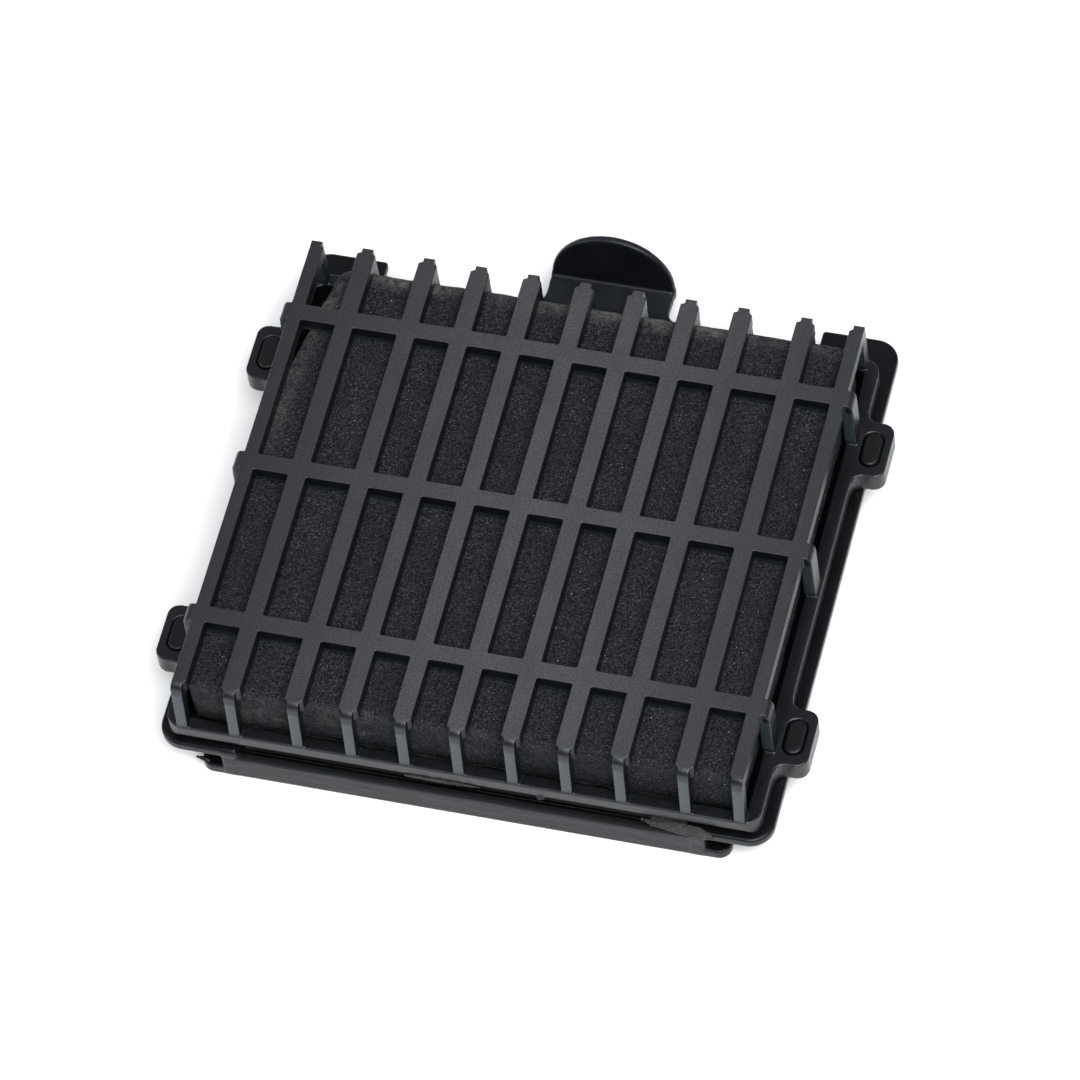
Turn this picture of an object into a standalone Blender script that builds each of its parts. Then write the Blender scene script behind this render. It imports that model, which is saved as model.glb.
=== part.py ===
"""Air filter housing for a small engine: a caged foam filter on a hook-in frame.

The part lies on its back. +Z points out of the grille, +Y towards the finger tab.
The origin is at the centre of the bounding box, on the surface it lies on.
"""
import math

import bmesh
import bpy
from mathutils import Matrix, Vector

MM = 0.001
GAP = 0.3                       # clearance between pieces that touch

# Heights above the resting surface, in millimetres
SEAL_TOP = 1.5
LIP_TOP = 2.2
PLATE_BOTTOM = 5.6
WEB_TOP = 6.4
PLATE_TOP = 7.7
CAGE_BOTTOM = PLATE_TOP + GAP
FLEECE_TOP = 9.1
FLANGE_TOP = 12.3
PEG_TOP = 12.6
GRILLE_UNDERSIDE = 21.1
GRILLE_TOP = 24.1

# Cage: ribs run along Y, cross bars along X, legs stand on a flange ring
RIB_PITCH = 9.65
WIDE_CELL_PITCH = 11.4
RIBS_BEFORE_WIDE_CELL = 3
RIB_WIDTH = 3.4
BAR_Y = 32.4
LEG_WIDTH = 2.0
LEG_DEPTH = 2.2
RIB_SHOULDER_Y = 45.6           # ribs taper from here
RIB_NECK_Y = 47.3               # and have the leg width from here
RIB_END_Y = 48.1
OUTER_RIB_TRIM = 0.85          # the two outer ribs are narrower by this much
BAR_END_X = 52.4
LEG_DRAFT = 0.5                 # legs lean out by this much on the way down
LEG_ROOT = 0.5                  # legs reach this far into the flange
FLANGE_HALF = Vector((53.2, 49.0))
FLANGE_BAND = 2.5
FLANGE_CORNER_R = 3.0
FOAM_HALF = Vector((49.8, 45.4))

# Ears and the oval pegs that pass through them
EAR_Y = 30.3
EAR_HALF_LENGTH = 5.75
EAR_REACH_X = 58.7
PEG_X = 55.4
PEG_SIZE = Vector((3.4, 7.0))
PEG_SLOT_GAP = 0.35
STEM_SIZE = Vector((2.0, 5.0))
SEAT_REACH_X = 57.4
SEAT_HALF_LENGTH = 4.2

# Frame plate
PLATE_HALF_X = 55.1
PLATE_FRONT_Y = -49.7
PLATE_BACK_Y = 56.6
LOBE_X = 40.5                   # the four corner lobes end here
BACK_EDGE_Y = 53.7
SLIT_EDGE_Y = -45.8
PLATE_CORNER_R = 4.5
WINDOW_X = (-42.0, 42.0)
WINDOW_Y = (-41.0, 39.0)
GRID_COLUMNS = 7
GRID_ROWS = 4
GRID_BAR = 2.0

# Hook rail and outlet collar behind the plate
LIP_HALF_X = 47.6
LIP_CORNER_R = 1.8
WEB_HALF_X = 43.5
WALL = 2.2
WEB_WALL = 1.3
COLLAR_FRONT_Y = -45.5
COLLAR_BACK_Y = 43.5
SEAL_WIDTH = 4.6

# Finger tab
TAB_X = 0.8
TAB_HALF_WIDTH = 11.4
TAB_FACE_Y = 59.5
TAB_HEIGHT = 10.6
TAB_THICKNESS = 1.6
TAB_LEAN = math.radians(10.5)

# The cage centre sits this far behind the centre of the bounding box
TAB_OUTER_Y = TAB_FACE_Y + TAB_THICKNESS * math.cos(TAB_LEAN) + TAB_HEIGHT * math.sin(TAB_LEAN)
CAGE_CENTRE_Y = -(PLATE_FRONT_Y + TAB_OUTER_Y) / 2.0

CORNER_SEGMENTS = 4
PEG_SEGMENTS = 6
TAB_SEGMENTS = 20

MATERIALS = {
    "cage_plastic": ((0.030, 0.032, 0.036), 0.52),
    "frame_plastic": ((0.018, 0.019, 0.022), 0.40),
    "peg_plastic": ((0.026, 0.026, 0.022), 0.55),
    "filter_foam": ((0.012, 0.013, 0.016), 0.95),
    "filter_fleece": ((0.060, 0.058, 0.055), 0.95),
    "seal_rubber": ((0.010, 0.010, 0.011), 0.80),
}


def clear_scene():
    for obj in list(bpy.data.objects):
        bpy.data.objects.remove(obj, do_unlink=True)


def material(name):
    found = bpy.data.materials.get(name)
    if found:
        return found
    color, roughness = MATERIALS[name]
    made = bpy.data.materials.new(name)
    made.use_nodes = True
    shader = made.node_tree.nodes["Principled BSDF"]
    shader.inputs["Base Color"].default_value = (*color, 1.0)
    shader.inputs["Roughness"].default_value = roughness
    shader.inputs["Metallic"].default_value = 0.0
    return made


def add_object(name, bm, slot, parent):
    bmesh.ops.recalc_face_normals(bm, faces=bm.faces)
    mesh = bpy.data.meshes.new(name)
    bm.to_mesh(mesh)
    bm.free()
    mesh.materials.append(material(slot))
    obj = bpy.data.objects.new(name, mesh)
    bpy.context.scene.collection.objects.link(obj)
    obj.parent = parent
    return obj


def round_corner(before, corner, after, radius, segments):
    """Points of the arc that rounds one corner of an outline."""
    corner = Vector(corner)
    to_before = (Vector(before) - corner).normalized()
    to_after = (Vector(after) - corner).normalized()
    half = to_before.angle(to_after) / 2.0
    reach = radius / math.tan(half)
    start = corner + to_before * reach
    end = corner + to_after * reach
    centre = corner + (to_before + to_after).normalized() * (radius / math.sin(half))
    first = start - centre
    sweep = first.angle_signed(end - centre)
    points = []
    for step in range(segments + 1):
        turn = Matrix.Rotation(-sweep * step / segments, 2)
        points.append(centre + turn @ first)
    return points


def outline(corners, segments=CORNER_SEGMENTS):
    """Closed outline from (x, y, radius) corners; radius 0 keeps a corner sharp."""
    points = []
    for index, (x, y, radius) in enumerate(corners):
        if radius <= 0.0:
            points.append(Vector((x, y)))
            continue
        before = corners[index - 1][:2]
        after = corners[(index + 1) % len(corners)][:2]
        points.extend(round_corner(before, (x, y), after, radius, segments))
    return points


def rectangle(x_range, y_range, radius=0.0, segments=CORNER_SEGMENTS):
    corners = [
        (x_range[0], y_range[0], radius),
        (x_range[1], y_range[0], radius),
        (x_range[1], y_range[1], radius),
        (x_range[0], y_range[1], radius),
    ]
    return outline(corners, segments)


def stadium(centre, size, grow=0.0):
    """Oval with round ends, its long side along Y."""
    radius = size.x / 2.0 + grow
    straight = (size.y - size.x) / 2.0
    points = []
    for side in (1.0, -1.0):
        for step in range(PEG_SEGMENTS + 1):
            angle = math.pi * step / PEG_SEGMENTS
            x = side * radius * math.cos(angle)
            y = side * (straight + radius * math.sin(angle))
            points.append(Vector((centre[0] + x, centre[1] + y)))
    return points


def prism_mesh(loops, low, high, to_world):
    """Extrude the area inside the first loop and outside the others."""
    bm = bmesh.new()
    edges = []
    for loop in loops:
        verts = [bm.verts.new(to_world(point.x, point.y, low)) for point in loop]
        for index, vert in enumerate(verts):
            edges.append(bm.edges.new((vert, verts[(index + 1) % len(verts)])))
    filled = bmesh.ops.triangle_fill(bm, edges=edges, use_beauty=True)
    faces = [item for item in filled["geom"] if isinstance(item, bmesh.types.BMFace)]
    raised = bmesh.ops.extrude_face_region(bm, geom=faces)
    shift = to_world(0.0, 0.0, high) - to_world(0.0, 0.0, low)
    top = [item for item in raised["geom"] if isinstance(item, bmesh.types.BMVert)]
    bmesh.ops.translate(bm, verts=top, vec=shift)
    return bm


def upright(x, y, height):
    return Vector((x, y, height)) * MM


def along_x(y, z, x):
    return Vector((x, y, z)) * MM


def along_y(x, z, y):
    return Vector((x, y, z)) * MM


def prism(name, loops, low, high, slot, parent, to_world=upright):
    return add_object(name, prism_mesh(loops, low, high, to_world), slot, parent)


def boolean_with(obj, tools, operation):
    """Unite the object with its tools, or cut them out, by an EXACT Boolean."""
    group = bpy.data.collections.new(obj.name + "_" + operation.lower())
    for tool in tools:
        group.objects.link(tool)
        tool.hide_render = True
        tool.display_type = "WIRE"
    modifier = obj.modifiers.new(operation.title(), "BOOLEAN")
    modifier.operation = operation
    modifier.solver = "EXACT"
    modifier.operand_type = "COLLECTION"
    modifier.collection = group


def shade_round(obj):
    obj.data.shade_smooth()
    obj.data.set_sharp_from_angle(angle=math.radians(30.0))


def rib_positions():
    """X of every rib, from the middle rib outwards on both sides."""
    positions = [0.0]
    reach = 0.0
    for index in range(RIBS_BEFORE_WIDE_CELL + 2):
        wide = index == RIBS_BEFORE_WIDE_CELL
        reach += WIDE_CELL_PITCH if wide else RIB_PITCH
        positions += [reach, -reach]
    return sorted(positions)


def side_leg(end, foot_draft):
    """Profile of one leg that leans out from the grille's end down to the flange."""
    root = FLANGE_TOP - LEG_ROOT
    top = GRILLE_UNDERSIDE - GAP
    outer = end + foot_draft
    return [
        Vector((outer - LEG_DEPTH, root)),
        Vector((outer, root)),
        Vector((end, top)),
        Vector((end - LEG_DEPTH, top)),
    ]


def leg_centres():
    """X of every rib's leg; the two outer legs stay inside their trimmed ribs."""
    ribs = rib_positions()
    reach = ribs[-1] + RIB_WIDTH / 2.0 - OUTER_RIB_TRIM - LEG_WIDTH / 2.0
    return [min(max(x, -reach), reach) for x in ribs]


def mirrored(points, hand):
    """The same outline on the left (-1) or on the right (1)."""
    return [Vector((hand * point.x, point.y)) for point in points]


def side_band_outline():
    """Right-hand band of the flange ring with its two ears."""
    inner = FLANGE_HALF.x - FLANGE_BAND
    end = FLANGE_HALF.y - FLANGE_BAND - GAP
    near = EAR_Y - EAR_HALF_LENGTH
    far = EAR_Y + EAR_HALF_LENGTH
    corners = [
        (inner, -end, 0.0),
        (FLANGE_HALF.x, -end, 0.0),
        (FLANGE_HALF.x, -far, 2.0),
        (EAR_REACH_X, -far, 2.2),
        (EAR_REACH_X, -near, 2.2),
        (FLANGE_HALF.x, -near, 2.0),
        (FLANGE_HALF.x, near, 2.0),
        (EAR_REACH_X, near, 2.2),
        (EAR_REACH_X, far, 2.2),
        (FLANGE_HALF.x, far, 2.0),
        (FLANGE_HALF.x, end, 0.0),
        (inner, end, 0.0),
    ]
    return outline(corners)


def peg_centres():
    named = {}
    for end, y in (("front", -EAR_Y), ("back", EAR_Y)):
        for hand, x in (("left", -PEG_X), ("right", PEG_X)):
            named[end + "_" + hand] = (x, y)
    return named


def rib_outline(x, leg_x, ribs):
    """One rib in plan: full width, then tapered to the width of its legs."""
    half = RIB_WIDTH / 2.0
    left = x - half + (OUTER_RIB_TRIM if x == ribs[0] else 0.0)
    right = x + half - (OUTER_RIB_TRIM if x == ribs[-1] else 0.0)
    tip_left = leg_x - LEG_WIDTH / 2.0
    tip_right = leg_x + LEG_WIDTH / 2.0
    back = [
        Vector((right, RIB_SHOULDER_Y)),
        Vector((tip_right, RIB_NECK_Y)),
        Vector((tip_right, RIB_END_Y)),
        Vector((tip_left, RIB_END_Y)),
        Vector((tip_left, RIB_NECK_Y)),
        Vector((left, RIB_SHOULDER_Y)),
    ]
    front = [Vector((point.x, -point.y)) for point in reversed(back)]
    return back + front


def without_repeats(points):
    """Drop points that fall on the one before them."""
    kept = [points[-1]]
    for point in points:
        if (point - kept[-1]).length > 0.01:
            kept.append(point)
    return kept[1:]


def make_grille(parent):
    """Flat lattice of ribs and cross bars; every rib narrows to its leg at the ends."""
    ribs = rib_positions()
    half = RIB_WIDTH / 2.0
    beams = []
    for index, (x, leg_x) in enumerate(zip(ribs, leg_centres()), start=1):
        loop = without_repeats(rib_outline(x, leg_x, ribs))
        beams.append(prism(f"rib_{index}", [loop], GRILLE_UNDERSIDE, GRILLE_TOP,
                           "cage_plastic", parent))
    for index, y in enumerate((-BAR_Y, 0.0, BAR_Y), start=1):
        loop = rectangle((-BAR_END_X, BAR_END_X), (y - half, y + half), 0.5, 1)
        beams.append(prism(f"bar_{index}", [loop], GRILLE_UNDERSIDE, GRILLE_TOP,
                           "cage_plastic", parent))
    grille = beams[0]
    grille.name = "cage_grille"
    boolean_with(grille, beams[1:], "UNION")


def make_end_comb(name, side, parent):
    """Band of the flange ring at one end of the ribs, with a leg under every rib."""
    outer = side * FLANGE_HALF.y
    inner = side * (FLANGE_HALF.y - FLANGE_BAND)
    corners = [
        (-FLANGE_HALF.x, outer, FLANGE_CORNER_R * 0.8),
        (FLANGE_HALF.x, outer, FLANGE_CORNER_R * 0.8),
        (FLANGE_HALF.x, inner, 0.0),
        (-FLANGE_HALF.x, inner, 0.0),
    ]
    band = prism(name, [outline(corners)], CAGE_BOTTOM, FLANGE_TOP, "cage_plastic", parent)
    profile = [Vector((side * point.x, point.y)) for point in side_leg(RIB_END_Y, LEG_DRAFT)]
    legs = []
    for index, x in enumerate(leg_centres(), start=1):
        legs.append(prism(f"{name}_leg_{index}", [profile], x - LEG_WIDTH / 2.0,
                          x + LEG_WIDTH / 2.0, "cage_plastic", parent, along_x))
    boolean_with(band, legs, "UNION")


def make_side_band(name, hand, parent):
    """Side band of the flange ring: two slotted ears and a leg under every cross bar."""
    loops = [mirrored(side_band_outline(), hand)]
    for y in (-EAR_Y, EAR_Y):
        loops.append(stadium((hand * PEG_X, y), PEG_SIZE, PEG_SLOT_GAP))
    band = prism(name, loops, CAGE_BOTTOM, FLANGE_TOP, "cage_plastic", parent)
    profile = mirrored(side_leg(BAR_END_X, LEG_DRAFT / 2.0), hand)
    half = RIB_WIDTH / 2.0
    legs = []
    for index, y in enumerate((-BAR_Y, 0.0, BAR_Y), start=1):
        legs.append(prism(f"{name}_leg_{index}", [profile], y - half, y + half,
                          "cage_plastic", parent, along_y))
    boolean_with(band, legs, "UNION")


def make_cage(parent):
    """The cage moulding, in five pieces that meet at its corners."""
    make_grille(parent)
    make_end_comb("cage_front", -1.0, parent)
    make_end_comb("cage_back", 1.0, parent)
    make_side_band("cage_left", -1.0, parent)
    make_side_band("cage_right", 1.0, parent)


def make_foam(parent):
    """Open-cell foam block that fills the cage."""
    half = FOAM_HALF
    loop = rectangle((-half.x, half.x), (-half.y, half.y), 3.0)
    foam = prism("foam_element", [loop], FLEECE_TOP + GAP, GRILLE_UNDERSIDE - GAP,
                 "filter_foam", parent)
    bevel = foam.modifiers.new("Soft edges", "BEVEL")
    bevel.width = 1.5 * MM
    bevel.segments = 2
    bevel.limit_method = "ANGLE"
    bevel.angle_limit = math.radians(60.0)
    return foam


def make_fleece(parent):
    """Thin felt layer between the foam and the frame's grid."""
    reach_x = FLANGE_HALF.x - FLANGE_BAND - 0.4
    reach_y = FLANGE_HALF.y - FLANGE_BAND - 0.4
    loop = rectangle((-reach_x, reach_x), (-reach_y, reach_y), 2.0)
    return prism("fleece_layer", [loop], CAGE_BOTTOM, FLEECE_TOP, "filter_fleece", parent)


def plate_outline():
    """Plate edge: corner lobes, peg seats, front slit and the tab's neck."""
    seat_near = EAR_Y - SEAT_HALF_LENGTH
    seat_far = EAR_Y + SEAT_HALF_LENGTH
    side = [
        (PLATE_HALF_X, -seat_far, 0.0),
        (SEAT_REACH_X, -seat_far, 1.2),
        (SEAT_REACH_X, -seat_near, 1.2),
        (PLATE_HALF_X, -seat_near, 0.0),
        (PLATE_HALF_X, seat_near, 0.0),
        (SEAT_REACH_X, seat_near, 1.2),
        (SEAT_REACH_X, seat_far, 1.2),
        (PLATE_HALF_X, seat_far, 0.0),
    ]
    neck_right = TAB_X + TAB_HALF_WIDTH
    neck_left = TAB_X - TAB_HALF_WIDTH
    neck_end = TAB_FACE_Y + TAB_THICKNESS
    corners = [
        (-LOBE_X, PLATE_FRONT_Y, 1.0),
        (-LOBE_X, SLIT_EDGE_Y, 1.0),
        (LOBE_X, SLIT_EDGE_Y, 1.0),
        (LOBE_X, PLATE_FRONT_Y, 1.0),
        (PLATE_HALF_X, PLATE_FRONT_Y, PLATE_CORNER_R),
    ]
    corners += side
    corners += [
        (PLATE_HALF_X, PLATE_BACK_Y, PLATE_CORNER_R),
        (LOBE_X, PLATE_BACK_Y, 1.0),
        (LOBE_X, BACK_EDGE_Y, 0.8),
        (neck_right, BACK_EDGE_Y, 2.5),
        (neck_right, neck_end, 1.0),
        (neck_left, neck_end, 1.0),
        (neck_left, BACK_EDGE_Y, 2.5),
        (-LOBE_X, BACK_EDGE_Y, 0.8),
        (-LOBE_X, PLATE_BACK_Y, 1.0),
        (-PLATE_HALF_X, PLATE_BACK_Y, PLATE_CORNER_R),
    ]
    corners += [(-x, -y, radius) for x, y, radius in side]
    corners += [(-PLATE_HALF_X, PLATE_FRONT_Y, PLATE_CORNER_R)]
    return outline(corners)


def grid_cells():
    """Openings of the support grid inside the plate's window."""
    pitch_x = (WINDOW_X[1] - WINDOW_X[0] + GRID_BAR) / GRID_COLUMNS
    pitch_y = (WINDOW_Y[1] - WINDOW_Y[0] + GRID_BAR) / GRID_ROWS
    cells = []
    for column in range(GRID_COLUMNS):
        for row in range(GRID_ROWS):
            x = WINDOW_X[0] + column * pitch_x
            y = WINDOW_Y[0] + row * pitch_y
            cells.append(rectangle((x, x + pitch_x - GRID_BAR), (y, y + pitch_y - GRID_BAR)))
    return cells


def make_finger_tab(parent):
    """Upright half-round grip at the end of the neck, leaning outwards."""
    foot = GAP + TAB_THICKNESS * math.sin(TAB_LEAN)
    loop = [Vector((TAB_X + TAB_HALF_WIDTH, foot))]
    for step in range(TAB_SEGMENTS + 1):
        angle = math.pi * step / TAB_SEGMENTS
        height = max(TAB_HEIGHT * math.sin(angle), foot)
        if step not in (0, TAB_SEGMENTS):
            loop.append(Vector((TAB_X + TAB_HALF_WIDTH * math.cos(angle), height)))
    loop.append(Vector((TAB_X - TAB_HALF_WIDTH, foot)))
    lean = Matrix.Rotation(-TAB_LEAN, 4, "X")
    hinge = Vector((0.0, TAB_FACE_Y, PLATE_TOP)) * MM

    def leaning(x, height, depth):
        return hinge + lean @ (Vector((x, depth, height)) * MM)

    prism("finger_tab", [loop], 0.0, TAB_THICKNESS, "frame_plastic", parent, leaning)


def make_hook_rail(parent):
    """Lip and front web: the channel that hooks over the edge of the air box."""
    loop = rectangle((-LIP_HALF_X, LIP_HALF_X), (PLATE_FRONT_Y, COLLAR_FRONT_Y - GAP),
                     LIP_CORNER_R)
    rail = prism("hook_rail", [loop], 0.0, LIP_TOP, "frame_plastic", parent)
    foot = LIP_TOP - 0.4
    shoulder = PLATE_BOTTOM - GAP
    crest_end = LOBE_X - GAP
    profile = [
        Vector((-WEB_HALF_X, foot)),
        Vector((WEB_HALF_X, foot)),
        Vector((WEB_HALF_X, shoulder)),
        Vector((crest_end, shoulder)),
        Vector((crest_end, WEB_TOP)),
        Vector((-crest_end, WEB_TOP)),
        Vector((-crest_end, shoulder)),
        Vector((-WEB_HALF_X, shoulder)),
    ]
    web = prism("hook_web", [profile], PLATE_FRONT_Y, PLATE_FRONT_Y + WEB_WALL,
                "frame_plastic", parent, along_y)
    boolean_with(rail, [web], "UNION")


def make_collar(parent):
    """Outlet collar: a wall round the window with a rim that carries the seal."""
    outer = rectangle((-LIP_HALF_X, LIP_HALF_X), (COLLAR_FRONT_Y, COLLAR_BACK_Y), 2.0)
    parts = []
    for name, band, low, high in (
        ("outlet_collar", WALL, SEAL_TOP + GAP, PLATE_BOTTOM - GAP),
        ("collar_rim", SEAL_WIDTH, SEAL_TOP + GAP, SEAL_TOP + GAP + 1.4),
    ):
        inner = rectangle((-LIP_HALF_X + band, LIP_HALF_X - band),
                          (COLLAR_FRONT_Y + band, COLLAR_BACK_Y - band), 1.0)
        parts.append(prism(name, [outer, inner], low, high, "frame_plastic", parent))
    boolean_with(parts[0], parts[1:], "UNION")


def make_frame(parent):
    """The frame moulding: plate with its grid, hook rail, outlet collar, finger tab."""
    loops = [plate_outline()] + grid_cells()
    for centre in peg_centres().values():
        loops.append(stadium(centre, STEM_SIZE, GAP))
    prism("frame_plate", loops, PLATE_BOTTOM, PLATE_TOP, "frame_plastic", parent)
    make_hook_rail(parent)
    make_collar(parent)
    make_finger_tab(parent)


def make_seal(parent):
    """Soft ring under the collar's rim."""
    front = COLLAR_FRONT_Y
    reach_x = LIP_HALF_X
    outer = rectangle((-reach_x, reach_x), (front, COLLAR_BACK_Y), 2.0)
    inner = rectangle((-reach_x + SEAL_WIDTH, reach_x - SEAL_WIDTH),
                      (front + SEAL_WIDTH, COLLAR_BACK_Y - SEAL_WIDTH), 1.0)
    return prism("rear_seal", [outer, inner], 0.0, SEAL_TOP, "seal_rubber", parent)


def make_pegs(parent):
    """Oval pegs: the stem sits in the frame, the head fills the ear's slot."""
    for name, centre in peg_centres().items():
        head = prism("ear_peg_" + name, [stadium(centre, PEG_SIZE)],
                     PLATE_TOP + GAP, PEG_TOP, "peg_plastic", parent)
        stem = prism("stem_" + name, [stadium(centre, STEM_SIZE)],
                     PLATE_BOTTOM, PLATE_TOP + GAP + 0.5, "peg_plastic", parent)
        boolean_with(head, [stem], "UNION")
        shade_round(head)


def make_origin():
    """Empty at the middle of the cage, which carries every piece."""
    origin = bpy.data.objects.new("housing_origin", None)
    bpy.context.scene.collection.objects.link(origin)
    origin.location = (0.0, CAGE_CENTRE_Y * MM, 0.0)
    return origin


def main():
    clear_scene()
    origin = make_origin()
    make_frame(origin)
    make_seal(origin)
    make_fleece(origin)
    make_foam(origin)
    make_cage(origin)
    make_pegs(origin)


main()
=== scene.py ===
"""Looks for the air filter housing: moulded plastic, dusty foam, studio light.

Shapes are distance fields in millimetres, measured from the middle of the cage in plan
and from the surface the part lies on. Each field becomes one closed, softly rounded mesh.
"""

import math

import bpy
import numpy as np
from mathutils import Matrix, Vector


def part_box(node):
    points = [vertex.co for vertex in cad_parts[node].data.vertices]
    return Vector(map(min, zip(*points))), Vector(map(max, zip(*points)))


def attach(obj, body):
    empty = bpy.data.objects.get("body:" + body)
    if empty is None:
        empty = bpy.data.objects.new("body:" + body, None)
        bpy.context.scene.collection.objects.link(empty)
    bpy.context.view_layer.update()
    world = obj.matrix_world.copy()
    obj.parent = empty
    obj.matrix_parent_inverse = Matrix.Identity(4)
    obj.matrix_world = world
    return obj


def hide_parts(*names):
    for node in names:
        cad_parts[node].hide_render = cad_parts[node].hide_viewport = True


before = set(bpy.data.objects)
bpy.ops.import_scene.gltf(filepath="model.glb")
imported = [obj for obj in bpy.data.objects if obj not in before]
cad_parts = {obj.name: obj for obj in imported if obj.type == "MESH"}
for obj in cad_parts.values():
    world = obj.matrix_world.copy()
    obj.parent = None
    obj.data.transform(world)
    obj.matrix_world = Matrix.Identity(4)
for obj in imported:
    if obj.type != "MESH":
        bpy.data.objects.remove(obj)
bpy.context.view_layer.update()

MM = 0.001

# ---------------------------------------------------------------- sizes from the frame

CAGE_NODES = ["cage_grille", "cage_front", "cage_back", "cage_left", "cage_right"]
FRAME_NODES = ["frame_plate", "hook_rail", "outlet_collar", "finger_tab"]


def node_box(*names):
    """Low and high corner of some nodes together, in millimetres."""
    boxes = [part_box(name) for name in names]
    low = Vector([min(box[0][n] for box in boxes) for n in range(3)])
    high = Vector([max(box[1][n] for box in boxes) for n in range(3)])
    return low / MM, high / MM


CAGE_LOW, CAGE_HIGH = node_box(*CAGE_NODES)
FOAM_LOW, FOAM_HIGH = node_box("foam_element")
FLEECE_LOW, FLEECE_HIGH = node_box("fleece_layer")
SEAL_LOW, SEAL_HIGH = node_box("rear_seal")
CENTRE_Y = (CAGE_LOW.y + CAGE_HIGH.y) / 2.0

CLEARANCE = 0.3             # between pieces that meet

GRILLE_TOP = CAGE_HIGH.z
CAGE_BOTTOM = CAGE_LOW.z
FLANGE = (53.2, 49.0)       # half sizes of the ring along x and y
FLANGE_HEIGHT = 4.3
FLANGE_TOP = CAGE_BOTTOM + FLANGE_HEIGHT
FLANGE_MID = CAGE_BOTTOM + FLANGE_HEIGHT / 2
FLANGE_WALL = 2.5
RIBS = [0.0, 9.65, 19.3, 28.95, 40.35, 50.0]
RIB_DEPTH = 3.0
RIB_WIDTH = 3.4
OUTER_RIB_TRIM = 0.85       # the two outer ribs are narrower by this much
SHOULDER = 46.3             # ribs narrow from here
BACK_SHOULDER = 0.35        # and this much later at the back
NECK = 47.0                 # from here they are as wide as their legs
TIP = 48.1
BARS = [-32.4, 0.0, 32.4]
BAR_HALF = 1.685
BAR_END = 52.4
LEG_HALF = 1.0
LEG_DEPTH = 2.2
EAR = (54.2, 30.3)
EAR_HALF = (4.5, 5.75)
PEG = (55.4, 30.3)
PEG_HALF = (1.7, 3.5)
SLOT_HALF = (1.85, 3.65)
STEM_HALF = (1.0, 2.5)
GATE_X = 14.4

PLATE_TOP = CAGE_BOTTOM - CLEARANCE
PLATE_BOTTOM = 5.6
PLATE_HALF = 55.1
FRONT = -49.7
BACK = 56.6
LOBE_X = 40.5               # the corner lobes begin here
LOBE_FRONT_DEPTH = 3.9
LOBE_BACK_Y = 53.4
WEB_TOP = 6.4
WEB_WALL = 1.2
WEB_HALF = 43.2
LIP_HALF = 47.6
LIP_DEPTH = 6.4
LIP_HEIGHT = 2.2
COLLAR_Y = (-45.5, 43.5)
COLLAR_HALF = 47.6
WINDOW_LOW = (-42.0, -41.0)
WINDOW_HIGH = (42.0, 39.0)
GRID_COLUMNS = 7
GRID_ROWS = 4
GRID_BAR = 2.0
TAB_X = 0.8
TAB_HALF = 11.4
TAB_FACE = 59.5
TAB_HEIGHT = 10.6
TAB_THICK = 1.6
TAB_LEAN = math.radians(10.5)

FOAM_PULL = 4.4             # how far the left edge is drawn in at the back

# ---------------------------------------------------------------- distance fields


def box2(u, v, cu, cv, hu, hv, r=0.0):
    """Rounded rectangle in a plane."""
    qu = np.abs(u - cu) - hu + r
    qv = np.abs(v - cv) - hv + r
    outside = np.hypot(np.maximum(qu, 0), np.maximum(qv, 0))
    return outside + np.minimum(np.maximum(qu, qv), 0) - r


def join(a, b, k=0.0):
    """Union, with a fillet of about k."""
    if k <= 0:
        return np.minimum(a, b)
    h = np.maximum(k - np.abs(a - b), 0) / k
    return np.minimum(a, b) - h * h * k * 0.25


def cut(a, b, k=0.0):
    """a with b taken away."""
    return -join(-a, b, k)


def raise_up(shape, offset, half, r):
    """A plane shape given thickness, with rounded edges."""
    a = shape + r
    b = np.abs(offset) - half + r
    outside = np.hypot(np.maximum(a, 0), np.maximum(b, 0))
    return outside + np.minimum(np.maximum(a, b), 0) - r


def round_off(field, out, up, r):
    """Rounds the edge where out and up both reach zero, with radius r."""
    out, up = out + r, up + r
    corner = np.hypot(np.maximum(out, 0), np.maximum(up, 0)) - r
    return np.where((out > 0) & (up > 0), np.maximum(field, corner), field)


def corners(x, y):
    """The four mirrored places of a point."""
    return [(sx * x, sy * y) for sx in (-1, 1) for sy in (-1, 1)]


def lattice(low, high, coarse, zones):
    """Sample positions: coarse steps, with finer ones inside (centre, reach, step) zones."""
    fine = []
    for centre, reach, step in zones:
        count = max(2, int(round(2 * reach / step)) + 1)
        fine.append(np.linspace(centre - reach, centre + reach, count))
    fine = np.concatenate(fine) if fine else np.array([])
    fine = np.sort(fine[(fine > low) & (fine < high)])
    steps = min([zone[2] for zone in zones] + [coarse])
    kept = [low]
    for value in fine:
        if value - kept[-1] >= steps * 0.62:
            kept.append(value)
    kept.append(high)
    out = [kept[0]]
    for value in kept[1:]:
        gap = value - out[-1]
        if gap > coarse * 1.5:
            count = int(math.ceil(gap / coarse))
            out.extend(out[-1] + gap * np.arange(1, count) / count)
        out.append(value)
    return np.array(out, np.float32)


class Grid:
    """Sample positions along the three axes."""

    def __init__(self, xs, ys, zs):
        self.xs, self.ys, self.zs = xs, ys, zs
        self.x = xs[:, None, None]
        self.y = ys[None, :, None]
        self.z = zs[None, None, :]

    def shape(self):
        return len(self.xs), len(self.ys), len(self.zs)

    def everywhere(self):
        """The three coordinates at every sample."""
        return np.broadcast_arrays(self.x, self.y, self.z)


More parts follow.
